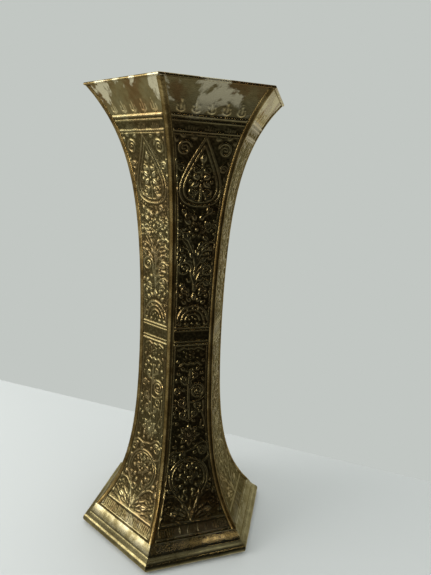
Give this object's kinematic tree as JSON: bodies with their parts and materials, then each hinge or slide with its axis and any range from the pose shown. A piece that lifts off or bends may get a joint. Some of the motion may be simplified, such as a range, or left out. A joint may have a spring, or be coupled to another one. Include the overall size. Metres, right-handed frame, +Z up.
{
  "type": "umbrella stand",
  "caption": "Tall hexagonal umbrella stand with concave embossed sides, corner beads, a flared rolled rim, a moulded plinth and a loose round drip pan.",
  "frame": {"origin": "middle of the foot, on the face that the stand rests on", "axes": "+Z up; corners of the hexagon along +X and -X; the front panel faces -Y"},
  "size_m": [0.28, 0.2428, 0.61],
  "materials": {
    "aged_brass_panel": "embossed, aged",
    "brass_bead": "smooth, tarnished",
    "brass_plinth": "rubbed, aged",
    "steel_wire": "drawn",
    "brass_plate": "dull",
    "tinned_steel": "tinned"
  },
  "bodies": {
    "stand": {"panel_front_right": "aged_brass_panel", "panel_back_right": "aged_brass_panel", "panel_back": "aged_brass_panel", "panel_back_left": "aged_brass_panel", "panel_front_left": "aged_brass_panel", "panel_front": "aged_brass_panel", "corner_bead_right": "brass_bead", "corner_bead_back_right": "brass_bead", "corner_bead_back_left": "brass_bead", "corner_bead_left": "brass_bead", "corner_bead_front_left": "brass_bead", "corner_bead_front_right": "brass_bead", "plinth_front_right": "brass_plinth", "plinth_back_right": "brass_plinth", "plinth_back": "brass_plinth", "plinth_back_left": "brass_plinth", "plinth_front_left": "brass_plinth", "plinth_front": "brass_plinth", "rim_wire": "steel_wire", "base_plate": "brass_plate"},
    "drip_pan": {"drip_pan": "tinned_steel"}
  },
  "joints": [
    {"name": "drip_pan_lift", "type": "slide", "parent": "stand", "child": "drip_pan", "axis": [0, 0, 1], "range_m": [0, 0.62]}
  ]
}
